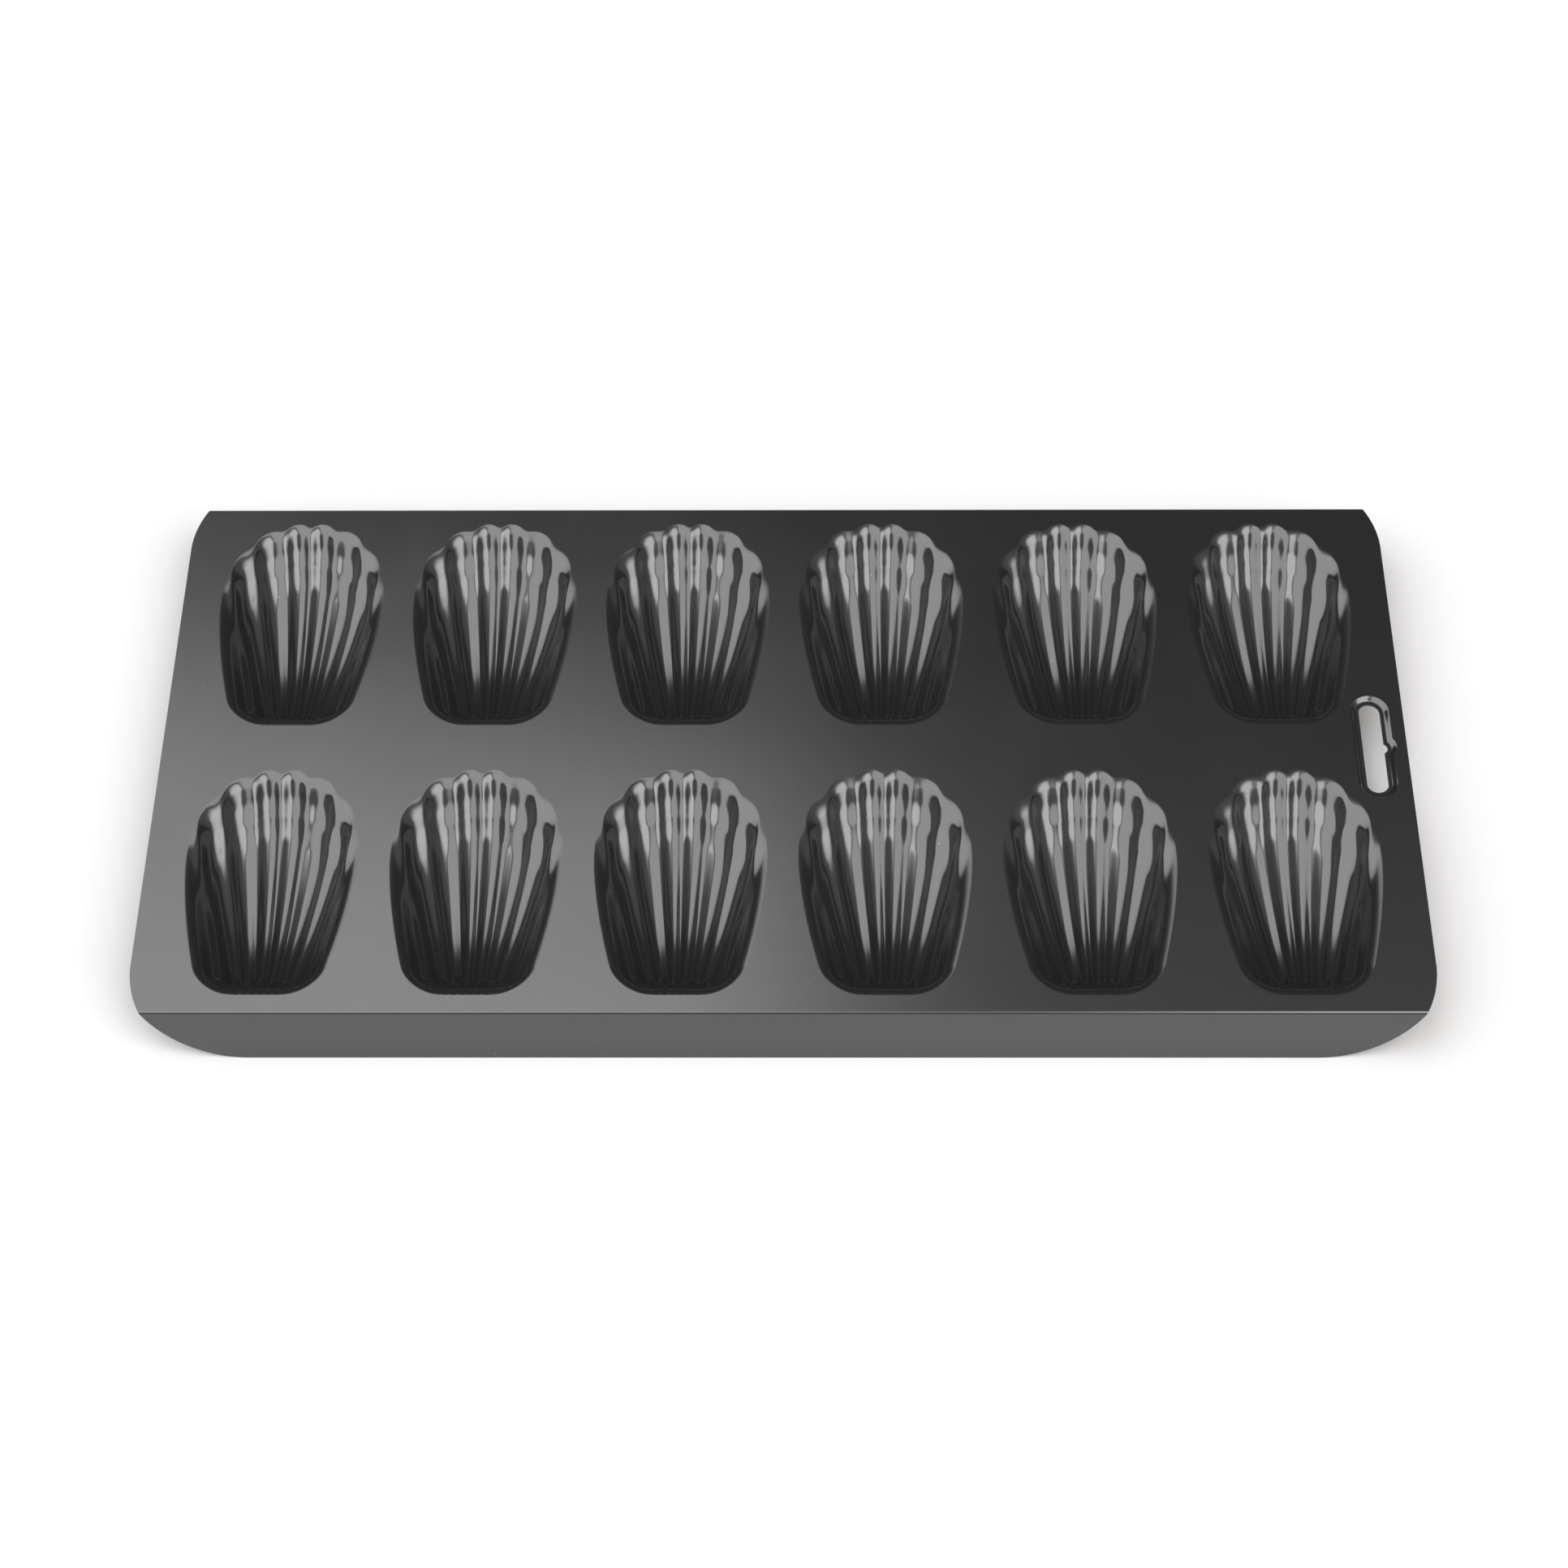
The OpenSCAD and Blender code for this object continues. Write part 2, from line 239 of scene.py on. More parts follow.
@dataclass
class CupShape:
    """A fluted shell cup, with x across, y from the narrow end to the fan end, and z up from the deck.

    Lines of equal u run along the flutes, and u grows by 1 from one ridge to the next.
    Lines of equal v run across them, from 0 at the narrow end to 1 at the fan rim.
    """

    length: float
    width: float
    narrow_width: float = 0.036
    narrow_corner: float = 0.011
    widest_offset: float = 0.008
    side_power: float = 1.6
    arch_power: float = 2.2
    bulge_power: float = 3.0
    depth: float = 0.017
    deepest_offset: float = -0.008
    narrow_depth: float = 0.0105
    fan_depth: float = 0.0065
    floor_power: float = 2.1
    side_share: float = 0.57
    side_slope: float = math.radians(66)
    fan_slope: float = math.radians(46)
    narrow_slope: float = math.radians(50)
    slope_change_start: float = 0.35
    slope_change_run: float = 0.4
    rim_radius: float = 0.0045
    foot_blend: float = 0.012
    crease_blend: float = 0.0008
    flute_count: int = 8
    flute_depth_fan: float = 0.0014
    flute_depth_narrow: float = 0.0009
    flute_run_in: float = 0.008
    fan_bunching: float = 0.45
    wave_power: float = 1.5
    notch_depth: float = 0.0016
    notch_fade: float = 0.7
    notch_start: float = 0.25
    notch_run: float = 0.5
    steps_per_flute: int = 14
    side_crowding: float = 1.8
    end_crowding: float = 0.85
    rows: int = 110

    def half_width(self, y: np.ndarray) -> np.ndarray:
        """Half width of the outline at y: it shrinks from the widest place as a power of the way back."""
        back = np.maximum(0, self.widest_offset - y) / (self.widest_offset + self.length / 2)
        return mix(self.width, self.narrow_width, back**self.side_power) / 2

    def corner_inset(self, y: np.ndarray) -> np.ndarray:
        """How far the narrow end's round corner draws the side in: r - sqrt(r^2 - s^2).

        Args:
            y: Place along the cup, where s is how far it lies short of the corner's end.

        Returns:
            The distance, 0 past the corner.
        """
        r = self.narrow_corner
        short = np.clip(r - (y + self.length / 2), 0, r)
        return r - np.sqrt(r * r - short * short)

    def ridge_share(self, u: np.ndarray) -> np.ndarray:
        """Height of the flutes' cross-section: (cos(pi u)^2)^power, a smooth wave.

        It is 1 on a ridge and 0 in the middle of a flute and on the outermost flutes' outer halves.
        A power of 1 makes the ridges as round as the flutes, and more makes them narrower.

        Args:
            u: Flute coordinate.

        Returns:
            The share of the full height.
        """
        share = (np.cos(np.pi * u) ** 2) ** self.wave_power
        return np.where(np.abs(u) > self.flute_count / 2 - 0.5, 0.0, share)

    def arch_angle(self, u: np.ndarray) -> np.ndarray:
        """Angle round the fan arch: an even share of a quarter turn, bunched towards both ends."""
        q = np.abs(u) / (self.flute_count / 2)
        return mix(q, cosine_step(q), self.fan_bunching) * np.pi / 2

    def notch(self, u: np.ndarray) -> np.ndarray:
        """Depth of the rim's notches: the notch depth on a ridge, less towards the sides."""
        fade = mix(1, np.cos(self.arch_angle(u)), self.notch_fade)
        return self.notch_depth * fade * self.ridge_share(u)

    def fan_rim(self, u: np.ndarray) -> np.ndarray:
        """Fan rim: x = a sin^e, y = b cos^e on a rounded arch, drawn in by a notch at each ridge.

        Args:
            u: Flute coordinate.

        Returns:
            Plan points as [..., xy].
        """
        angle, side = self.arch_angle(u), np.sign(u)
        across, along = np.sin(angle), np.maximum(0, np.cos(angle))
        e, a, b = 2 / self.arch_power, self.width / 2, self.length / 2 - self.widest_offset
        arch = np.stack([side * a * across**e, self.widest_offset + b * along**e], -1)
        normal = np.stack([side * across ** (2 - e) / a, along ** (2 - e) / b], -1)
        normal /= np.linalg.norm(normal, axis=-1, keepdims=True)
        return arch - self.notch(u)[..., None] * normal

    def narrow_rim(self, u: np.ndarray) -> np.ndarray:
        """Narrow end of the outline: a straight run, then half of a round corner at each side.

        Args:
            u: Flute coordinate.

        Returns:
            Plan points as [..., xy].
        """
        inner = self.flute_count / 2 - 1
        past = np.maximum(0, np.abs(u) - inner)
        y = self.narrow_corner * (1 - np.cos(np.pi / 4 * past)) - self.length / 2
        flat = u / inner * (self.narrow_width / 2 - self.narrow_corner)
        round_part = np.sign(u) * (self.half_width(y) - self.corner_inset(y))
        return np.stack([np.where(past > 0, round_part, flat), y], -1)

    def side_rim(self, v: np.ndarray) -> np.ndarray:
        """Right-hand side of the outline, from the middle of the corner to the widest place.

        Args:
            v: Share of the way to the fan end.

        Returns:
            Plan points as [..., xy].
        """
        corner = self.narrow_corner * (1 - math.cos(math.pi / 4)) - self.length / 2
        y = mix(corner, self.widest_offset, v)
        return np.stack([self.half_width(y) - self.corner_inset(y), y], -1)

    def plan(self, u: np.ndarray, v: np.ndarray) -> np.ndarray:
        """Plan of the cup: straight flute lines, bulged out to follow the sides.

        Args:
            u: Flute coordinate.
            v: Share of the way to the fan end.

        Returns:
            Plan points as [..., xy].
        """
        edge = np.float64(self.flute_count / 2)
        at = v[..., None]
        straight = mix(self.narrow_rim(u), self.fan_rim(u), at)
        bulge = self.side_rim(v) - mix(self.narrow_rim(edge), self.fan_rim(edge), at)
        share = (np.abs(u) / edge) ** self.bulge_power
        mirrored = np.stack([np.sign(u) * bulge[..., 0], bulge[..., 1]], -1)
        return straight + share[..., None] * mirrored

    def inside_distance(self, x: np.ndarray, y: np.ndarray) -> np.ndarray:
        """Distance in from the outline, with the narrow end's corners rounded.

        On the arch it is (1 - rho) / |grad rho|, where rho is 1 on the outline.

        Args:
            x: Place across the cup.
            y: Place along the cup.

        Returns:
            The distance, positive inside.
        """
        w, b, n = self.half_width(y), self.length / 2 - self.widest_offset, self.arch_power
        qx, qy = np.abs(x) / w, np.maximum(0, y - self.widest_offset) / b
        rho = np.maximum(LEAST_SHARE, (qx**n + qy**n) ** (1 / n))
        slope = np.hypot((qx / rho) ** (n - 1) / w, (qy / rho) ** (n - 1) / b)
        side, end = (1 - rho) / np.maximum(LEAST_SHARE, slope), y + self.length / 2
        r = self.narrow_corner
        corner = r - np.hypot(np.maximum(0, r - side), np.maximum(0, r - end))
        return np.where((side > r) | (end > r), np.minimum(side, end), corner)

    def wall_depth(self, distance: np.ndarray, slope: np.ndarray) -> np.ndarray:
        """Depth of a wall: a circular roll r - sqrt(r^2 - d^2), then a straight run at the slope.

        Args:
            distance: Distance in from the rim.
            slope: Slope of the straight run, from level.

        Returns:
            The depth below the deck.
        """
        r = self.rim_radius
        d, roll = np.maximum(0, distance), r * np.sin(slope)
        rolled = r - np.sqrt(r * r - np.minimum(d, roll) ** 2)
        return rolled + np.maximum(0, d - roll) * np.tan(slope)

    def floor_depth(self, x: np.ndarray, y: np.ndarray) -> np.ndarray:
        """Depth of the floor: the deepest, less a power of the way to each end, less a share at the sides.

        Args:
            x: Place across the cup.
            y: Place along the cup.

        Returns:
            The depth below the deck.
        """
        half, deepest = self.length / 2, self.deepest_offset
        ahead = np.maximum(0, y - deepest) / (half - deepest)
        behind = np.maximum(0, deepest - y) / (half + deepest)
        rise_ahead = (self.depth - self.fan_depth) * ahead**2
        rise_behind = (self.depth - self.narrow_depth) * behind**self.floor_power
        middle = self.depth - rise_ahead - rise_behind
        return middle * (1 - self.side_share * (x / self.half_width(y)) ** 2)

    def surface(self, u: np.ndarray, v: np.ndarray) -> np.ndarray:
        """Upper face of the cup: the lesser of the wall's and the floor's depths, less the flutes' ridges.

        The wall's slope and the rounding at its foot go from the narrow end's to the side's, and the
        slope goes on from the side's to the fan end's.

        Args:
            u: Flute coordinate.
            v: Share of the way to the fan end.

        Returns:
            Points as [..., xyz].
        """
        place = self.plan(u, v)
        x, y = place[..., 0], place[..., 1]
        end, side = y + self.length / 2, self.half_width(y) - np.abs(x)
        towards_side = end / np.maximum(LEAST_LENGTH, end + side)
        beside = ease((towards_side - self.slope_change_start) / self.slope_change_run)
        ahead = ease((y - self.widest_offset) / (self.length / 2 - self.widest_offset))
        slope = mix(self.narrow_slope, mix(self.side_slope, self.fan_slope, ahead), beside)
        notch = self.notch(u) * ease((v - self.notch_start) / self.notch_run)
        rim = self.inside_distance(x, y) - notch
        wall = self.wall_depth(rim, slope)
        blend = np.minimum(wall + LEAST_LENGTH, mix(self.crease_blend, self.foot_blend, beside))
        bowl = soft_least(wall, self.floor_depth(x, y), blend)
        ridge = mix(self.flute_depth_narrow, self.flute_depth_fan, v) * self.ridge_share(u)
        depth = bowl - ridge * ease(rim / self.flute_run_in)
        return np.concatenate([place, -depth[..., None]], -1)

    def stations(self) -> tuple[np.ndarray, np.ndarray]:
        """Grid lines: crowded near each ridge, near the sides and near both ends.

        Returns:
            The u values and the v values.
        """
        half, n = self.flute_count // 2, self.steps_per_flute
        wave = cosine_step(np.linspace(0, 1, n + 1)[:-1])
        inner = (np.arange(1 - half, half - 1)[:, None] + wave).ravel()
        outward = half - (1 - np.linspace(0, 1, 2 * n + 1)[1:]) ** self.side_crowding
        u = np.concatenate([-outward[::-1], inner, [half - 1], outward])
        t = np.linspace(0, 1, self.rows)
        v = mix(t, cosine_step(t), self.end_crowding)
        return u, v

    def faces(self) -> tuple[np.ndarray, np.ndarray]:
        """Both faces of the cup's sheet, with its rim level with the deck.

        Returns:
            The upper and the lower face, as [row, column, xyz].
        """
        u, v = self.stations()
        grid_u, grid_v = np.meshgrid(u, v)
        top = self.surface(grid_u, grid_v)
        normal = surface_normals(top)
        rim = np.ones(top.shape[:2], bool)
        rim[1:-1, 1:-1] = False
        top[rim, 2] = 0
        normal[rim] = (0, 0, 1)
        return top, top - SHEET * normal

    def rim_loop(self) -> np.ndarray:
        """The cup's rim in plan, anticlockwise, without a repeated point."""
        top = self.faces()[0][..., :2]
        return np.concatenate([top[0, :-1], top[:-1, -1], top[-1, :0:-1], top[:0:-1, 0]])


@dataclass(frozen=True)
class NodeBench:
    """A node tree, with short ways to add the nodes of the coating and of the light."""

    tree: bpy.types.NodeTree

    def feed(self, socket: bpy.types.NodeSocket, value: Feed) -> None:
        """Gives an input its value.

        Args:
            socket: The input.
            value: Another node's output, which is linked to it, or a plain value.
        """
        if isinstance(value, bpy.types.NodeSocket):
            self.tree.links.new(value, socket)
        else:
            socket.default_value = value

    def add(
        self, kind: str, output: str | int, inputs: dict[str | int, Feed], **settings: str
    ) -> bpy.types.NodeSocket:
        """Adds one node.

        Args:
            kind: Type of the node.
            output: The wanted output, by name or number.
            inputs: What each input gets, by name or number.
            settings: The node's own settings, made before its inputs.

        Returns:
            The wanted output.
        """
        node = self.tree.nodes.new(kind)
        for name, setting in settings.items():
            setattr(node, name, setting)
        for key, value in inputs.items():
            self.feed(node.inputs[key], value)
        return node.outputs[output]

    def math(self, operation: str, *values: Feed) -> bpy.types.NodeSocket:
        """Adds a Math node that does the operation on the values."""
        return self.add("ShaderNodeMath", 0, dict(enumerate(values)), operation=operation)

    def eased(self, value: Feed, start: float, end: float) -> bpy.types.NodeSocket:
        """Adds a smooth step of the value, 0 at the start and 1 at the end."""
        inputs = {"Value": value, "From Min": start, "From Max": end}
        return self.add("ShaderNodeMapRange", "Result", inputs, interpolation_type="SMOOTHSTEP")

    def noise(self, place: Feed, per_metre: float, detail: float) -> bpy.types.NodeSocket:
        """Adds a noise with so many waves in a metre and so many finer layers."""
        inputs = {"Vector": place, "Scale": per_metre, "Detail": detail}
        return self.add("ShaderNodeTexNoise", "Fac", inputs)

    def blend(self, share: Feed, first: Feed, second: Feed) -> bpy.types.NodeSocket:
        """Adds a colour that is the first where the share is 0 and the second where it is 1."""
        inputs = {"A": first, "B": second, "Factor": share}
        return self.add("ShaderNodeMix", "Result", inputs, data_type="RGBA")


@dataclass(frozen=True)
class CoatedSteel:
    """Dark non-stick coating on steel: a broad sheen, fine metallic grain and rare bright flecks."""

    name: str = "coated_steel"
    color: tuple[float, float, float] = (0.092, 0.092, 0.093)
    grain_color: tuple[float, float, float] = (0.122, 0.122, 0.1235)
    fleck_color: tuple[float, float, float] = (0.22, 0.22, 0.215)
    metallic: float = 0.88
    roughness: float = 0.16
    roughness_swing: float = 0.03
    noise_range: tuple[float, float] = (0.6, 1.4)
    grain_per_metre: float = 3200.0
    grain_layers: float = 2.0
    grain_height: float = 0.000003
    cloud_per_metre: float = 22.0
    cloud_layers: float = 3.0
    fleck_per_metre: float = 90.0
    fleck_size: float = 0.022

    def material(self) -> bpy.types.Material:
        """Builds the node material on Object coordinates.

        The grain shades the colour and raises the surface, grain and clouds together sway the
        roughness, and a fleck is the middle of a large random cell.

        Returns:
            The finished material.
        """
        made = bpy.data.materials.new(self.name)
        made.use_nodes = True
        shader = made.node_tree.nodes["Principled BSDF"]
        bench = NodeBench(made.node_tree)
        place = bench.add("ShaderNodeTexCoord", "Object", {})
        grain = bench.noise(place, self.grain_per_metre, self.grain_layers)
        cloud = bench.noise(place, self.cloud_per_metre, self.cloud_layers)
        cell = {"Vector": place, "Scale": self.fleck_per_metre}
        fleck = bench.math("LESS_THAN", bench.add("ShaderNodeTexVoronoi", "Distance", cell), self.fleck_size)
        speckled = bench.blend(grain, (*self.color, 1), (*self.grain_color, 1))
        sway = {
            "Value": bench.math("ADD", grain, cloud),
            "From Min": self.noise_range[0],
            "From Max": self.noise_range[1],
            "To Min": self.roughness - self.roughness_swing,
            "To Max": self.roughness + self.roughness_swing,
        }
        relief = {"Strength": 1.0, "Distance": self.grain_height, "Height": grain}
        bench.feed(shader.inputs["Metallic"], self.metallic)
        bench.feed(shader.inputs["Base Color"], bench.blend(fleck, speckled, (*self.fleck_color, 1)))
        bench.feed(shader.inputs["Roughness"], bench.add("ShaderNodeMapRange", "Result", sway))
        bench.feed(shader.inputs["Normal"], bench.add("ShaderNodeBump", "Normal", relief))
        return made


@dataclass
class Deck:
    """The level deck: a plate between the folds with holes for the cups and the slot border."""

    half_length: float
    half_depth: float
    blank_half_depth: float
    top: float
    corner: float = BLANK_CORNER
    corner_steps: int = 48
    merge_reach: float = 1e-7

    def outline(self) -> np.ndarray:
        """Plan of the deck: straight sides and the part of each round corner that lies on it.

        The corner's points are c + r (cos a, sin a), up to the fold.

        Returns:
            Points, anticlockwise.
        """
        r = self.corner
        centre = np.array([self.half_length - r, self.blank_half_depth - r])
        end = math.asin((self.half_depth - centre[1]) / r)
        a = np.linspace(0, end, self.corner_steps)
        arc = centre + r * np.stack([np.cos(a), np.sin(a)], -1)
        right = np.concatenate([arc[::-1] * (1, -1), arc])
        return np.concatenate([right, right * (-1, -1)])

    def fill(self, holes: list[np.ndarray]) -> tuple[np.ndarray, np.ndarray]:
        """Fills the outline round its holes with triangles that face up.

        Args:
            holes: Closed outlines in plan.

        Returns:
            Plan points, and triangles of point numbers.
        """
        loops = [self.outline(), *holes]
        counts = np.array([len(loop) for loop in loops])
        starts = np.cumsum(counts) - counts
        rings = [np.arange(n) for n in counts]
        edges = [np.stack([ring, np.roll(ring, -1)], -1) + start for ring, start in zip(rings, starts)]
        plan, edges = np.concatenate(loops), np.concatenate(edges)
        corners = [Vector(p) for p in plan.tolist()]
        filled = delaunay_2d_cdt(corners, edges.tolist(), [], 0, self.merge_reach)
        flat = np.array([tuple(p) for p in filled[0]])
        faces = np.array([f for f in filled[2] if len(f) == 3])
        faces = faces[inside_loops(flat[faces].mean(axis=1), plan, edges)]
        ab, ac = flat[faces[:, 1]] - flat[faces[:, 0]], flat[faces[:, 2]] - flat[faces[:, 0]]
        turned = ab[:, 0] * ac[:, 1] - ab[:, 1] * ac[:, 0] < 0
        faces[turned] = faces[turned][:, ::-1]
        used, numbers = np.unique(faces, return_inverse=True)
        return flat[used], numbers.reshape(-1, 3)

    def build(self, holes: list[np.ndarray]) -> bpy.types.Object:
        """Lays the filled outline above and below, and walls its edges.

        Args:
            holes: Closed outlines in plan.

        Returns:
            The new object.
        """
        flat, faces = self.fill(holes)
        shift = len(flat)
        above = np.column_stack([flat, np.full(shift, self.top)])
        points = np.concatenate([above, above - (0, 0, SHEET)])
        return new_piece("pressed_deck", points, [faces, faces[:, ::-1] + shift, edge_walls(faces, shift)])


def inside_loops(
    points: np.ndarray, plan: np.ndarray, edges: np.ndarray, batch: int = 2000
) -> np.ndarray:
    """Even-odd test: a point is inside if a ray along +x crosses an odd number of edges.

    Args:
        points: Plan points to test.
        plan: Plan points of the loops.
        edges: Pairs of point numbers.
        batch: Number of points to test at a time, which bounds the memory used.

    Returns:
        True for each point inside.
    """
    a, b = plan[edges[:, 0]], plan[edges[:, 1]]
    crossings = np.zeros(len(points), int)
    for start in range(0, len(points), batch):
        p = points[start : start + batch, None, :]
        spans = (a[:, 1] > p[..., 1]) != (b[:, 1] > p[..., 1])
        rise = np.where(b[:, 1] == a[:, 1], 1, b[:, 1] - a[:, 1])
        x = a[:, 0] + (p[..., 1] - a[:, 1]) / rise * (b[:, 0] - a[:, 0])
        crossings[start : start + batch] = (spans & (x > p[..., 0])).sum(axis=1)
    return crossings % 2 == 1


@dataclass
class Skirt:
    """A long side, folded down from the deck and leaning outward, with the blank's round corners."""

    half_length: float
    top: float
    fold_start: float
    lean: float = math.radians(13.5)
    fold_radius: float = 0.001
    corner: float = BLANK_CORNER
    fold_steps: int = 40
    corner_steps: int = 40
    columns: int = 25

    @property
    def turn(self) -> float:
        """Angle of the fold, from the level deck to the leaning skirt."""
        return math.pi / 2 - self.lean

    def reach(self) -> float:
        """Distance along the sheet from the pan's middle line to the skirt's foot.

        Returns:
            The deck's part, the fold's arc r a and the skirt's own height along its lean.
        """
        drop = self.fold_radius * (1 - math.cos(self.turn))
        arc = self.fold_radius * self.turn
        return self.fold_start + arc + (self.top - drop) / math.cos(self.lean)

    def blank(self) -> tuple[np.ndarray, np.ndarray]:
        """The flat blank from the fold to the foot, with its round corner: r - sqrt(r^2 - s^2) drawn in.

        Returns:
            Distances along the sheet from the pan's middle line, and the half length at each.
        """
        arc, centre = self.fold_radius * self.turn, self.reach() - self.corner
        first = math.asin((self.fold_start + arc - centre) / self.corner)
        swing = np.linspace(first, math.pi / 2, self.corner_steps + 1)[1:]
        bend = self.fold_start + np.linspace(0, arc, self.fold_steps + 1)
        along = np.concatenate([bend, centre + self.corner * np.sin(swing)])
        past = np.maximum(0, along - centre)
        return along, self.half_length - self.corner + np.sqrt(np.maximum(0, self.corner**2 - past**2))

    def build(self, side: Side) -> bpy.types.Object:
        """Wraps the flat blank round the fold and down the skirt.

        Round the fold the section is (y, z) = (r sin a, r cos a - r), where a = s / r. The inner face
        stops level with the outer face's foot.

        Args:
            side: Which long side to build.

        Returns:
            The new object.
        """
        r, turn = self.fold_radius, self.turn
        along, half = self.blank()
        angle = np.minimum(turn, (along - self.fold_start) / r)
        run = np.maximum(0, along - self.fold_start - r * turn)
        y = self.fold_start + r * np.sin(angle) + run * math.cos(turn)
        z = self.top - r * (1 - np.cos(angle)) - run * math.sin(turn)
        y_in, z_in = y - SHEET * np.sin(angle), z - SHEET * np.cos(angle)
        lift = np.maximum(0, -z_in) / math.sin(turn)
        y_in, z_in = y_in - lift * math.cos(turn), z_in + lift * math.sin(turn)
        x = half[:, None] * np.linspace(side.value, -side.value, self.columns)
        outer = np.stack(np.broadcast_arrays(x, side.value * y[:, None], z[:, None]), -1)
        inner = np.stack(np.broadcast_arrays(x, side.value * y_in[:, None], z_in[:, None]), -1)
        return sheet_piece(f"pressed_{side.name.lower()}_skirt", outer, inner)


@dataclass
class SlotBorder:
    """The dished border of the hang slot, with a round peg notch in its outer side."""

    left: float
    middle: float
    top: float
    length: float = 0.03485
    width: float = 0.00675
    border: float = 0.0028
    dip: float = 0.001
    level_share: float = 0.42
    peg_radius: float = 0.0022
    peg_reach: float = 0.00115
    end_steps: int = 40
    rings: int = 14

    def edge(self, out: np.ndarray) -> np.ndarray:
        """The slot's edge moved outward: two half circles and the peg notch's arc.

        Args:
            out: Distances to move it by, one for each ring.

        Returns:
            Points as [ring, point, xy], anticlockwise.
        """
        out = out[:, None]
        r = self.width / 2 + out
        straight = (self.length - self.width) / 2
        back = self.width / 2 + self.peg_reach - self.peg_radius
        bump = self.peg_radius + out
        spread = np.arccos((r - back) / bump)
        turn = np.linspace(0, np.pi, self.end_steps)[None, :]
        top = np.stack([r * np.cos(turn), straight + r * np.sin(turn)], -1)
        bottom = np.stack([-r * np.cos(turn), -straight - r * np.sin(turn)], -1)
        swing = spread * np.linspace(-1, 1, self.end_steps)[None, :]
        notch = np.stack([back + bump * np.cos(swing), bump * np.sin(swing)], -1)
        return np.concatenate([top, bottom, notch], 1)

    def build(self) -> tuple[bpy.types.Object, np.ndarray]:
        """Sweeps the border from the deck in to the slot: a rounded step, then a level ledge.

        Returns:
            The new object, and its outer edge in plan.
        """
        share = np.linspace(0, 1, self.rings)
        centre = np.array([self.left + self.border + self.width / 2, self.middle])
        plan = self.edge(self.border * (1 - share)) + centre
        z = self.top - self.dip * ease(share / (1 - self.level_share))
        top = np.concatenate([plan, np.broadcast_to(z[:, None, None], plan.shape[:2] + (1,))], -1)
        return sheet_piece("pressed_slot_border", top, top - (0, 0, SHEET), closed=True), plan[0]


@dataclass
class Pan:
    """The whole pan, placed by its CAD nodes."""

    finish: CoatedSteel
    body: str = "root"
    slot: str = "coated_steel"
    columns: int = 6
    cup_length: float = 0.0846

    def dress(self, piece: bpy.types.Object, node: str, material: bpy.types.Material) -> None:
        """Gives a piece its finish and sets it in place of its CAD node.

        Args:
            piece: The new piece.
            node: Name of the CAD node that it stands for.
            material: Its material.
        """
        piece.data.materials.append(material)
        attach(piece, self.body)
        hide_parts(node)
        log.info("%s: %d faces in place of %s", piece.name, len(piece.data.polygons), node)

    def build(self) -> None:
        """Builds every piece of the pan."""
        material = self.finish.material()
        holes = self.cups(material)
        low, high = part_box("hang_slot_rim")
        rim, hole = SlotBorder(left=low[0], middle=(low[1] + high[1]) / 2, top=high[2]).build()
        self.dress(rim, "hang_slot_rim", material)
        half_length, half_depth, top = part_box("deck")[1]
        skirt = Skirt(half_length=half_length, top=top, fold_start=half_depth)
        deck = Deck(half_length, half_depth, skirt.reach(), top)
        self.dress(deck.build([*holes, hole]), "deck", material)
        for side in Side:
            self.dress(skirt.build(side), f"{side.name.lower()}_skirt", material)

    def cups(self, material: bpy.types.Material) -> list[np.ndarray]:
        """Builds the cups of both rows.

        Args:
            material: Their material.

        Returns:
            Each cup's rim in plan.
        """
        low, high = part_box("cup_front_1")
        shape = CupShape(length=self.cup_length, width=high[0] - low[0])
        top, under = shape.faces()
        rim = shape.rim_loop()
        holes = []
        for row in Row:
            for column in range(1, self.columns + 1):
                node = f"cup_{row.value}_{column}"
                low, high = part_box(node)
                at = np.array([(low[0] + high[0]) / 2, low[1] + shape.length / 2, high[2]])
                self.dress(sheet_piece(f"pressed_{node}", top + at, under + at), node, material)
                holes.append(rim + at[:2])
        return holes


@dataclass(frozen=True)
class SoftBox:
    """A soft light overhead, as four edges on a plane one metre above the pan.

    The left and near edges are pairs of places where the light begins and where it is full. The right
    and far edges are pairs where it is still full and where it has ended. The far edge is slanted: it
    is read along y + slant x. The near edge is splayed: it is read along y + splay |x|, which leaves
    the middle of the front dark.
    """

    strength: float
    tint: tuple[float, float, float]
    left: tuple[float, float]
    right: tuple[float, float]
    near: tuple[float, float]
    far: tuple[float, float]
    slant: float
    splay: float

    def glow(self, bench: NodeBench, across: Feed, along: Feed) -> bpy.types.NodeSocket:
        """The box's light, as bright as the product of its four eased edges.

        Args:
            bench: Bench of the world's node tree.
            across: Socket that gives x on the plane.
            along: Socket that gives y on the plane.

        Returns:
            The light's shader socket.
        """
        slanted = bench.math("ADD", along, bench.math("MULTIPLY", across, self.slant))
        aside = bench.math("MULTIPLY", bench.math("ABSOLUTE", across), self.splay)
        splayed = bench.math("ADD", along, aside)
        left, right = bench.eased(across, *self.left), bench.eased(across, *self.right[::-1])
        near, far = bench.eased(splayed, *self.near), bench.eased(slanted, *self.far[::-1])
        share = bench.math("MULTIPLY", bench.math("MULTIPLY", left, right), bench.math("MULTIPLY", near, far))
        strength = bench.math("MULTIPLY", share, self.strength)
        return bench.add("ShaderNodeBackground", 0, {"Color": (*self.tint, 1), "Strength": strength})


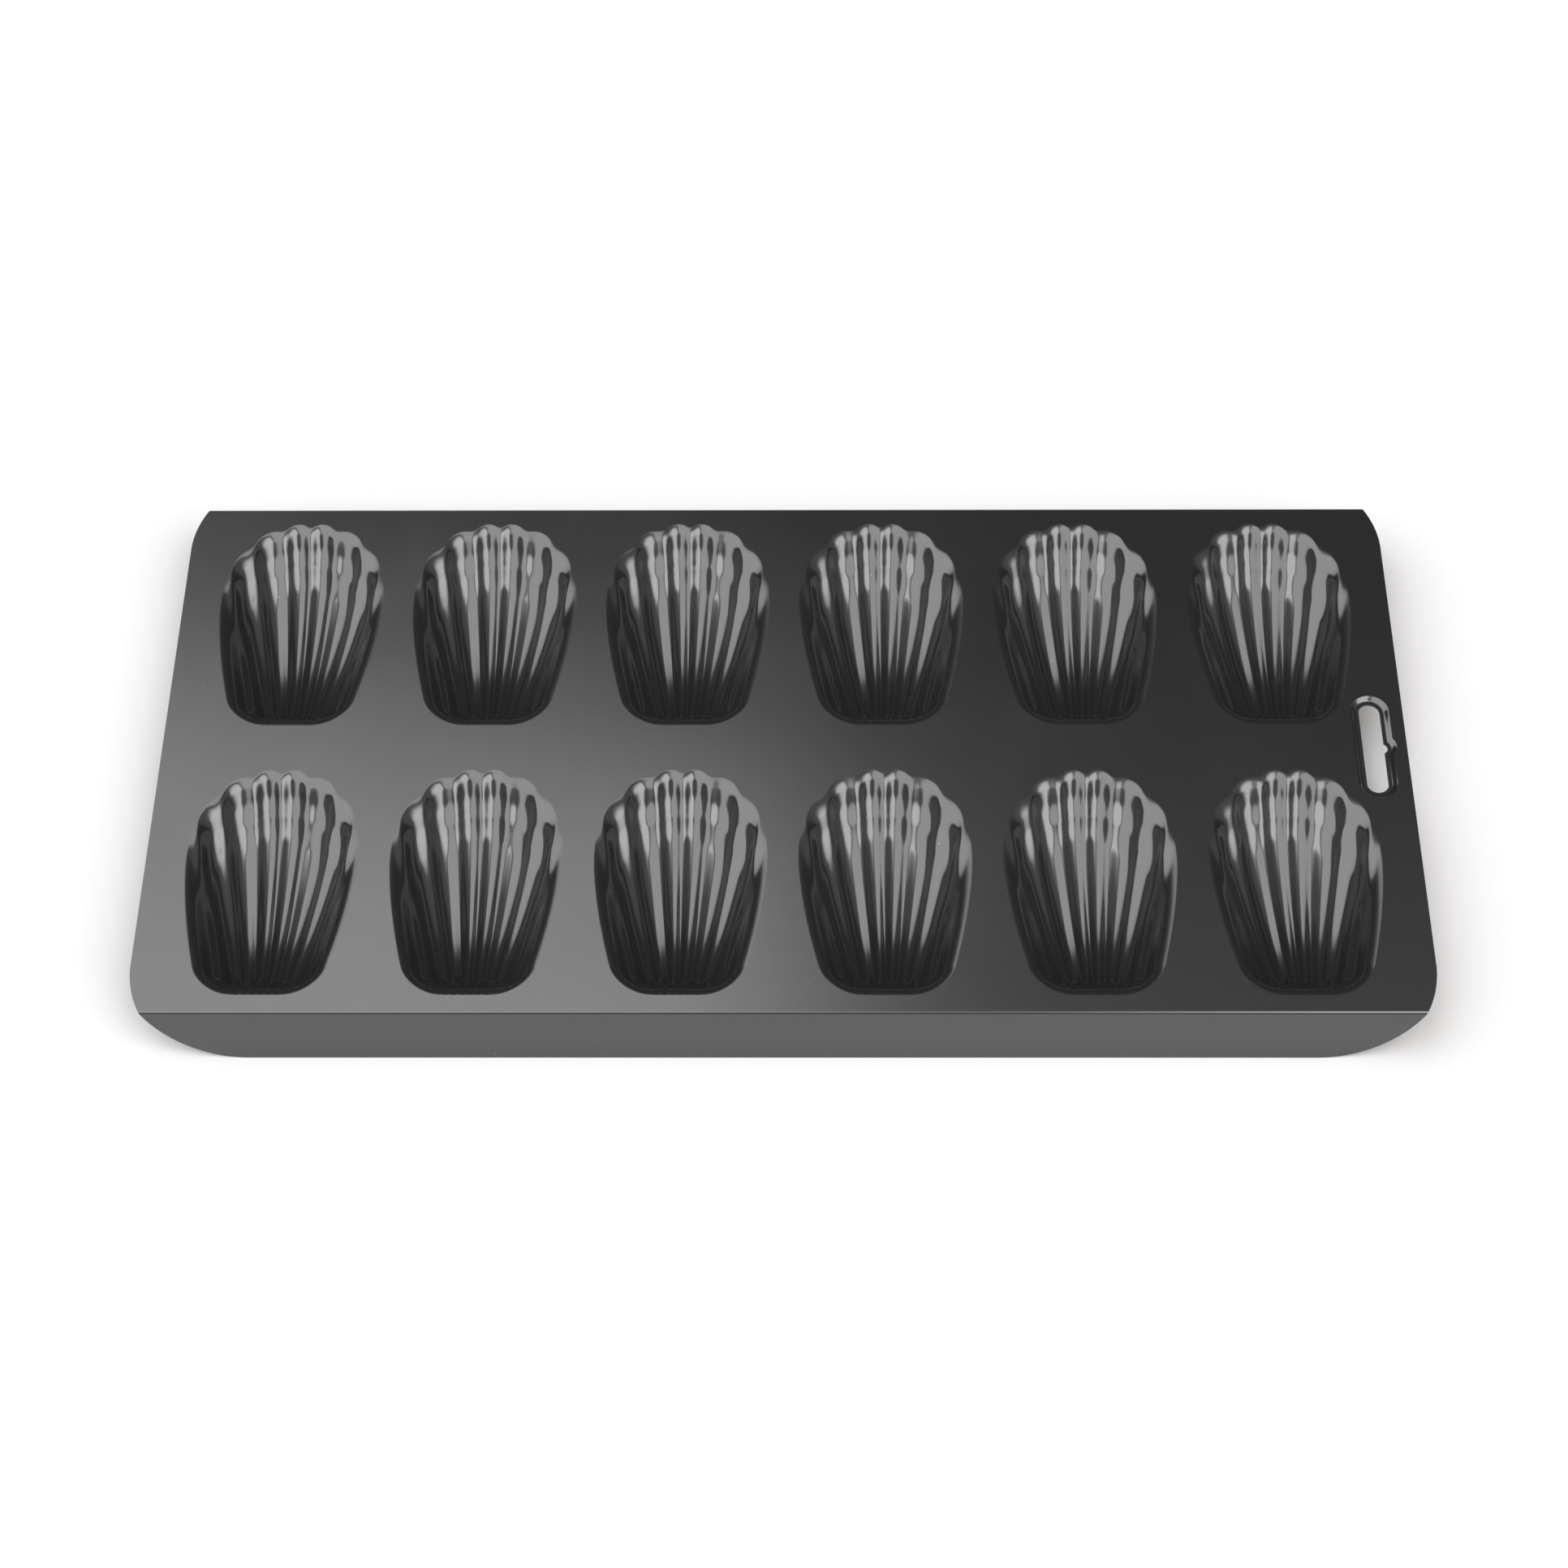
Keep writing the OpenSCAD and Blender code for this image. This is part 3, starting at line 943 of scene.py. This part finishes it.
@dataclass
class Studio:
    """Pale floor, soft boxes overhead and the camera at the photograph's angle."""

    deck_top: float
    elevation: float = math.radians(53.84)
    azimuth: float = math.radians(-0.91)
    roll: float = math.radians(-0.77)
    distance: float = 1.030
    target: tuple[float, float] = (0.0002, -0.0146)
    lens: float = 75.15
    film_width: float = 36.0
    clip: tuple[float, float] = (0.05, 50.0)
    floor_color: tuple[float, float, float] = (0.62, 0.62, 0.62)
    floor_roughness: float = 0.9
    floor_reach: float = 4.0
    dim_light: float = 0.03
    horizon: float = 0.02
    boxes: tuple[SoftBox, ...] = (
        SoftBox(
            strength=2.15,
            tint=(1.00, 0.995, 1.01),
            left=(-4.5, -3.0),
            right=(-0.03, 0.03),
            near=(-1.0, -0.5),
            far=(0.70, 0.76),
            slant=0.25,
            splay=1.1,
        ),
        SoftBox(
            strength=0.30,
            tint=(1.00, 0.995, 1.01),
            left=(-8.0, -5.0),
            right=(5.0, 8.0),
            near=(-8.0, -5.0),
            far=(0.57, 0.79),
            slant=0.0,
            splay=0.0,
        ),
        SoftBox(
            strength=3.8,
            tint=(1.02, 1.00, 0.975),
            left=(0.08, 0.16),
            right=(1.0, 3.6),
            near=(-1.0, -0.5),
            far=(0.0, 0.45),
            slant=0.3,
            splay=1.1,
        ),
    )

    def camera(self) -> None:
        """Places the camera: its forward line looks down at the target from the stated distance."""
        e, a, r = self.elevation, self.azimuth, self.roll
        forward = Vector((math.sin(a) * math.cos(e), math.cos(a) * math.cos(e), -math.sin(e)))
        level = forward.cross(Vector((0, 0, 1))).normalized()
        upright = level.cross(forward)
        right = math.cos(r) * level + math.sin(r) * upright
        up = math.cos(r) * upright - math.sin(r) * level
        data = bpy.data.cameras.new("camera")
        data.lens = self.lens
        data.sensor_width = self.film_width
        data.clip_start, data.clip_end = self.clip
        camera = bpy.data.objects.new("camera", data)
        turn = Matrix((right, up, -forward)).transposed().to_4x4()
        place = Vector((*self.target, self.deck_top)) - self.distance * forward
        camera.matrix_world = Matrix.Translation(place) @ turn
        bpy.context.scene.collection.objects.link(camera)
        bpy.context.scene.camera = camera

    def floor(self) -> None:
        """Lays a wide pale floor that keeps the pan's shadow."""
        corners = np.array([[-1, -1, 0], [1, -1, 0], [1, 1, 0], [-1, 1, 0]])
        floor = new_piece("floor", self.floor_reach * corners, [np.array([[0, 1, 2, 3]])])
        material = bpy.data.materials.new("pale_floor")
        material.use_nodes = True
        shader = material.node_tree.nodes["Principled BSDF"]
        shader.inputs["Base Color"].default_value = (*self.floor_color, 1)
        shader.inputs["Roughness"].default_value = self.floor_roughness
        shader.inputs["Specular IOR Level"].default_value = 0.0
        floor.data.materials.append(material)

    def light(self) -> None:
        """Lights the pan by the world: a dim light all round and the soft boxes overhead.

        A direction is read as a place (x / z, y / z) on the plane one metre up. Camera rays see plain
        white.
        """
        world = bpy.data.worlds.new("studio")
        bpy.context.scene.world = world
        world.use_nodes = True
        world.node_tree.nodes.clear()
        bench = NodeBench(world.node_tree)
        direction = bench.add("ShaderNodeTexCoord", "Generated", {})
        parts = world.node_tree.nodes.new("ShaderNodeSeparateXYZ")
        bench.feed(parts.inputs[0], direction)
        x, y, z = parts.outputs
        height = bench.math("MAXIMUM", z, self.horizon)
        across, along = bench.math("DIVIDE", x, height), bench.math("DIVIDE", y, height)
        studio = bench.add("ShaderNodeBackground", 0, {"Strength": self.dim_light})
        for box in self.boxes:
            studio = bench.add("ShaderNodeAddShader", 0, {0: studio, 1: box.glow(bench, across, along)})
        white = bench.add("ShaderNodeBackground", 0, {"Color": (1, 1, 1, 1), "Strength": 1.0})
        seen = bench.add("ShaderNodeLightPath", "Is Camera Ray", {})
        chosen = bench.add("ShaderNodeMixShader", 0, {0: seen, 1: studio, 2: white})
        bench.feed(world.node_tree.nodes.new("ShaderNodeOutputWorld").inputs[0], chosen)

    def build(self) -> None:
        """Sets up the camera, the floor and the light."""
        bpy.context.scene.view_settings.view_transform = "Standard"
        self.camera()
        self.floor()
        self.light()


def main() -> None:
    """Builds the studio and the pan, in that order."""
    logging.basicConfig(level=logging.INFO, format="%(message)s")
    log.info("The frame has %d nodes", len(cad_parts))
    Studio(deck_top=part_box("deck")[1][2]).build()
    Pan(finish=CoatedSteel()).build()


if __name__ == "__main__":
    main()
